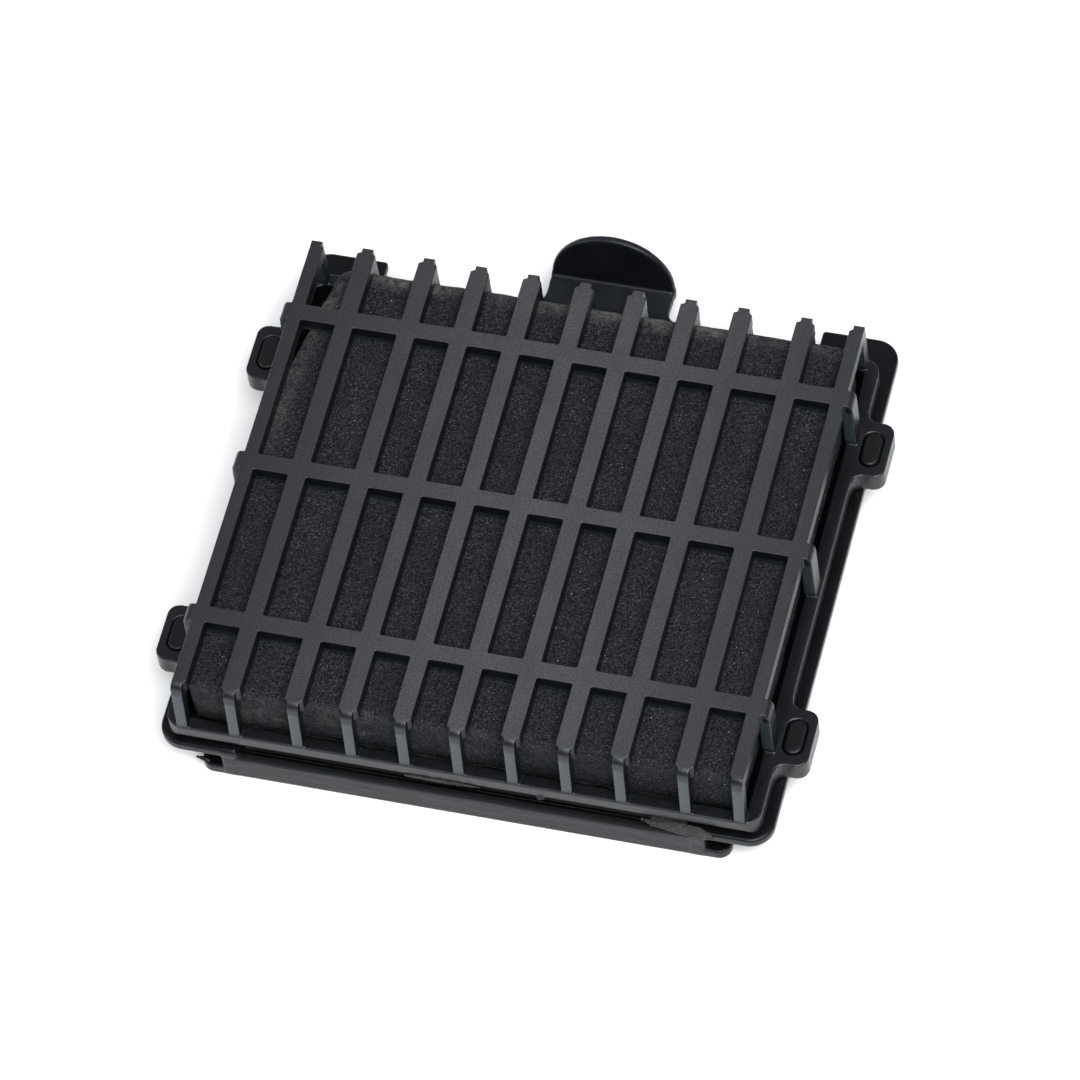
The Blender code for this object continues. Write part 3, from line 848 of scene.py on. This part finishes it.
def peg_field(g, centre, low, high):
    """Oval head with a crowned top, on a thinner stem that goes into the plate."""
    x, y = g.xs[:, None], g.ys[None, :]
    base = PLATE_TOP + CLEARANCE
    oval = box2(x, y, centre.x, centre.y, *PEG_HALF, 1.69)
    head = raise_up(oval[:, :, None], g.z - (high + base) / 2, (high - base) / 2, 0.5)
    crown = high + 0.12 - 0.05 * ((g.x - centre.x) ** 2 + 0.3 * (g.y - centre.y) ** 2)
    oval = box2(x, y, centre.x, centre.y, *STEM_HALF, 0.99)
    stem = raise_up(oval[:, :, None], g.z - (low + 9) / 2, (9 - low) / 2, 0.2)
    return join(np.maximum(head, g.z - crown), stem)


def make_pegs(look):
    e = 0.14
    xs = np.arange(-2.2, 2.2 + e, e, dtype=np.float32)
    ys = np.arange(-4.0, 4.0 + e, e, dtype=np.float32)
    for end in ("front", "back"):
        for hand in ("left", "right"):
            node = f"ear_peg_{end}_{hand}"
            low, high = node_box(node)
            centre = (low + high) / 2 - Vector((-0.05, CENTRE_Y, 0))
            zs = np.arange(low.z - 0.4, high.z + 0.4 + e, e, dtype=np.float32)
            g = Grid(xs + centre.x, ys + centre.y, zs)
            piece = mesh_object(f"peg_{end}_{hand}", *skin(peg_field(g, centre, low.z, high.z), g))
            settle(piece, "frame", [node], look)


def make_seal(look):
    """Soft ring round the outlet, with rounded edges."""
    e = 0.25
    band, front_band = 4.6, 2.4
    low, high = SEAL_LOW - Vector((0, CENTRE_Y, 0)), SEAL_HIGH - Vector((0, CENTRE_Y, 0))
    inner_low, inner_high = low.y + front_band, high.y - band
    zx = [(s * v, 1.4, e) for s in (-1, 1) for v in (high.x - 0.8, high.x - band)]
    zy = [(v, 1.4, e) for v in (low.y + 0.8, inner_low, high.y - 0.8, inner_high)]
    g = Grid(lattice(low.x - 0.6, high.x + 0.6, 3.0, zx),
             lattice(low.y - 0.6, high.y + 0.6, 3.0, zy),
             np.arange(-0.4, high.z + 0.6, e * 0.7, dtype=np.float32))
    x, y = g.xs[:, None], g.ys[None, :]
    plan = box2(x, y, 0, (low.y + high.y) / 2, high.x, (high.y - low.y) / 2, 2.0)
    plan = cut(plan, box2(x, y, 0, (inner_low + inner_high) / 2, high.x - band,
                          (inner_high - inner_low) / 2, 1.0))
    field = raise_up(plan[:, :, None], g.z - high.z / 2, high.z / 2, 0.35)
    piece = mesh_object("seal_ring", *skin(field, g))
    settle(piece, "frame", ["rear_seal"], look)


# ---------------------------------------------------------------- the filter


def foam_dust(points, low, high):
    """Dust caught along the back, left and front edges, patchy, none on the right."""
    x, y, z = points.T
    high_up = smooth(z, low.z + 3.0, high.z - 1.0)
    from_left = x + high.x - FOAM_PULL * smooth(y, 15.0, 50.0)
    back = (1 - smooth(high.y + 0.3 - y, 0.8, 4.6)) * (0.35 + 0.65 * high_up)
    left = (1 - smooth(from_left, 0.6, 5.0)) * (0.5 + 0.5 * high_up) * smooth(y, -5, 25)
    front = (1 - smooth(y + high.y, 0.4, 1.6)) * (0.10 + 0.25 * (x < 5))
    dust = np.maximum(np.maximum(back, left), front)
    dust = np.where(x > high.x - 1.5, 0, dust) * smooth(z, low.z + 1, low.z + 5)
    return dust * (0.35 + 0.65 * smooth(noise(points.T, 7.0, 21), -0.5, 0.5))


def make_foam(look):
    """Soft block with drooping rounded edges, its left back corner pulled in."""
    step = 0.62
    low = FOAM_LOW - Vector((0, CENTRE_Y, 0))
    high = FOAM_HIGH - Vector((0, CENTRE_Y, 0))
    xs = np.arange(low.x - 1, high.x + 1, step, dtype=np.float32)
    ys = np.arange(low.y - 1, high.y + 2, step, dtype=np.float32)
    zs = np.arange(low.z - 0.8, high.z + 0.9, step * 0.8, dtype=np.float32)
    g = Grid(xs, ys, zs)
    x, y = g.xs[:, None], g.ys[None, :]
    pull = FOAM_PULL * smooth(y, 15.0, 50.0)
    shifted = np.where(x < 0, x - pull * smooth(-x, 20.0, 48.0), x)
    plan = box2(shifted, y, 0, 0.2, high.x - 0.15, high.y + 0.15, 3.0)
    mid, half = (low.z + high.z) / 2, (high.z - low.z) / 2 - 0.15
    field = raise_up(plan[:, :, None], g.z - mid, half, 1.9)
    for height, size, seed in ((0.16, 3.1, 3), (0.10, 1.3, 5), (0.07, 0.62, 11)):
        field = field + height * noise(g.everywhere(), size, seed)
    points, quads = skin(field, g)
    piece = mesh_object("foam_block", points, quads)
    layer = piece.data.attributes.new("dust", "FLOAT", "POINT")
    layer.data.foreach_set("value", foam_dust(points, low, high).astype(np.float32))
    settle(piece, "filter", ["foam_element"], look)


def strip(g, start, end):
    """Distance from a straight line across the part, given by two (y, z) points."""
    dy, dz = end[0] - start[0], end[1] - start[1]
    t = ((g.y - start[0]) * dy + (g.z - start[1]) * dz) / (dy * dy + dz * dz)
    t = np.clip(t, 0, 1)
    return np.hypot(g.y - start[0] - t * dy, g.z - start[1] - t * dz)


def flap_field(g, lumps, fine):
    """Ragged felt at the front right: under the ring, over the web's crest, down its front."""
    tongue = np.minimum(strip(g, (-43.8, 8.6), (-46.5, 7.4)), strip(g, (-46.5, 7.4), (-49.3, 7.2)))
    tongue = np.maximum(tongue - 0.40, np.abs(g.x - 36.9) - 3.2)
    t = np.clip((g.x - 32.5) / 12.0, 0, 1)
    height = 8.6 - 1.35 * t + 0.35 * lumps
    tall = 0.12 + 1.15 * smooth(t, 0.05, 0.6) - 0.35 * smooth(t, 0.8, 1.0) + 0.30 * fine
    face = -49.2 - 0.55 * smooth(9.6 - g.z, 0.0, 2.2) - 0.10 * lumps
    sheet = np.maximum(np.abs(g.y - face) - 0.34, np.abs(g.z - height) - tall)
    sheet = np.maximum(sheet, np.abs(g.x - 38.7) - 6.2 - 0.5 * lumps)
    return join(tongue, sheet, 0.4) + 0.10 * fine


def wisp_field(g, lumps, fine):
    """A wisp of the same felt that hangs under the ring near the middle."""
    off = np.abs(g.x + 3.4)
    along = off - 6.6
    drop = 0.32 - 0.20 * smooth(off, 2.0, 6.5)
    wisp = np.maximum(strip(g, (-43.8, 8.6), (-48.3, 8.15)) - drop, along)
    wisp = join(wisp, np.maximum(strip(g, (-48.3, 8.15), (-49.05, 9.2)) - drop, along), 0.3)
    return wisp + 0.16 * fine + 0.10 * lumps


def make_fleece(look):
    """Thin felt under the foam, squeezed out at the front in two places."""
    e = 0.16
    low = FLEECE_LOW - Vector((0, CENTRE_Y, 0))
    high = FLEECE_HIGH - Vector((0, CENTRE_Y, 0))
    zx = [(39.0, 7.5, e), (-3.4, 7.4, e * 1.4)]
    zy = [(-48.4, 3.2, e)]
    g = Grid(lattice(low.x - 1, high.x + 1, 0.9, zx), lattice(-51.4, high.y + 1, 0.9, zy),
             np.arange(5.2, 10.2, e, dtype=np.float32))
    plan = box2(g.xs[:, None], g.ys[None, :], 0, 0, high.x - 1.8, high.y - 1.8, 2.0)
    mid, half = (low.z + high.z) / 2, (high.z - low.z) / 2 - 0.08
    field = raise_up(plan[:, :, None], g.z - mid, half, 0.3)
    field = field + 0.07 * noise(g.everywhere(), 1.1, 8)
    lumps = noise(g.everywhere(), 1.7, 31)
    fine = noise(g.everywhere(), 0.5, 32)
    loose = np.minimum(flap_field(g, lumps, fine), wisp_field(g, lumps, fine))
    piece = mesh_object("fleece_pad", *skin(join(field, loose, 0.2), g))
    settle(piece, "filter", ["fleece_layer"], look)


# ---------------------------------------------------------------- stage

CAMERA_AZIMUTH = math.radians(21.196)
CAMERA_ELEVATION = math.radians(56.794)
CAMERA_ROLL = math.radians(-8.629)
CAMERA_DISTANCE = 1.29433
CAMERA_TARGET = Vector((0.004178, -0.011022, 0.020441))
LENS = 246.9


def make_camera():
    data = bpy.data.cameras.new("camera")
    data.lens = LENS
    data.sensor_width = 36.0
    data.clip_start = 0.01
    data.clip_end = 50.0
    camera = bpy.data.objects.new("camera", data)
    bpy.context.scene.collection.objects.link(camera)
    flat = math.cos(CAMERA_ELEVATION)
    away = Vector((math.sin(CAMERA_AZIMUTH) * flat, -math.cos(CAMERA_AZIMUTH) * flat,
                   math.sin(CAMERA_ELEVATION)))
    camera.location = CAMERA_TARGET + away * CAMERA_DISTANCE
    look = (-away).to_track_quat("-Z", "Y").to_matrix()
    camera.rotation_euler = (look @ Matrix.Rotation(CAMERA_ROLL, 3, "Z")).to_euler()
    bpy.context.scene.camera = camera


def area_light(name, location, size, power):
    data = bpy.data.lights.new(name, "AREA")
    data.shape = "RECTANGLE"
    data.size, data.size_y = size
    data.energy = power
    light = bpy.data.objects.new(name, data)
    light.location = location
    light.rotation_euler = (-Vector(location)).to_track_quat("-Z", "Y").to_euler()
    bpy.context.scene.collection.objects.link(light)


def make_stage():
    """White floor just under the part, two soft lamps and a pale surround."""
    mesh = bpy.data.meshes.new("floor")
    reach = 4.0
    mesh.from_pydata([(-reach, -reach, 0), (reach, -reach, 0), (reach, reach, 0), (-reach, reach, 0)],
                     [], [(0, 1, 2, 3)])
    floor = bpy.data.objects.new("floor", mesh)
    floor.location.z = -0.0002
    bpy.context.scene.collection.objects.link(floor)
    n = Nodes("floor_white")
    n.shader.inputs["Roughness"].default_value = 0.9
    n.shader.inputs["Base Color"].default_value = (0.86, 0.86, 0.86, 1)
    n.shader.inputs["Specular IOR Level"].default_value = 0.0
    mesh.materials.append(n.material)
    area_light("overhead", (0.5, -0.6, 1.3), (1.2, 1.0), 40.0)
    area_light("side", (-1.3, -0.5, 0.9), (0.8, 0.8), 8.0)
    world = bpy.data.worlds.new("studio")
    world.use_nodes = True
    background = world.node_tree.nodes["Background"]
    background.inputs["Color"].default_value = (0.93, 0.96, 1.0, 1)
    background.inputs["Strength"].default_value = 0.45
    scene = bpy.context.scene
    scene.world = world
    scene.view_settings.view_transform = "Standard"
    scene.view_settings.look = "None"


def main():
    make_camera()
    make_stage()
    # worn upper faces of the grille, with a painted highlight as their middle tone
    worn_and_highlit = (GRILLE_TOP * MM, (0.012, 0.0125, 0.014), (0.043, 0.044, 0.047), 0.50)
    cage_look = plastic("cage_plastic_look", (0.0022, 0.0025, 0.0030), (0.0045, 0.0050, 0.0060),
                        rough=0.33, gloss=0.42, top=worn_and_highlit, cool_legs=True)
    frame_look = plastic("frame_plastic_look", (0.0012, 0.0014, 0.0018),
                         (0.0030, 0.0034, 0.0042), rough=0.34, gloss=0.21, painted_tab_reflection=True)
    peg_look = plastic("peg_plastic_look", (0.0010, 0.0010, 0.0007), (0.0022, 0.0021, 0.0016),
                       rough=0.40, gloss=0.34)
    make_frame(frame_look)
    make_seal(rubber_material())
    make_fleece(felt_material())
    make_foam(foam_material())
    make_cage(cage_look)
    make_pegs(peg_look)


main()
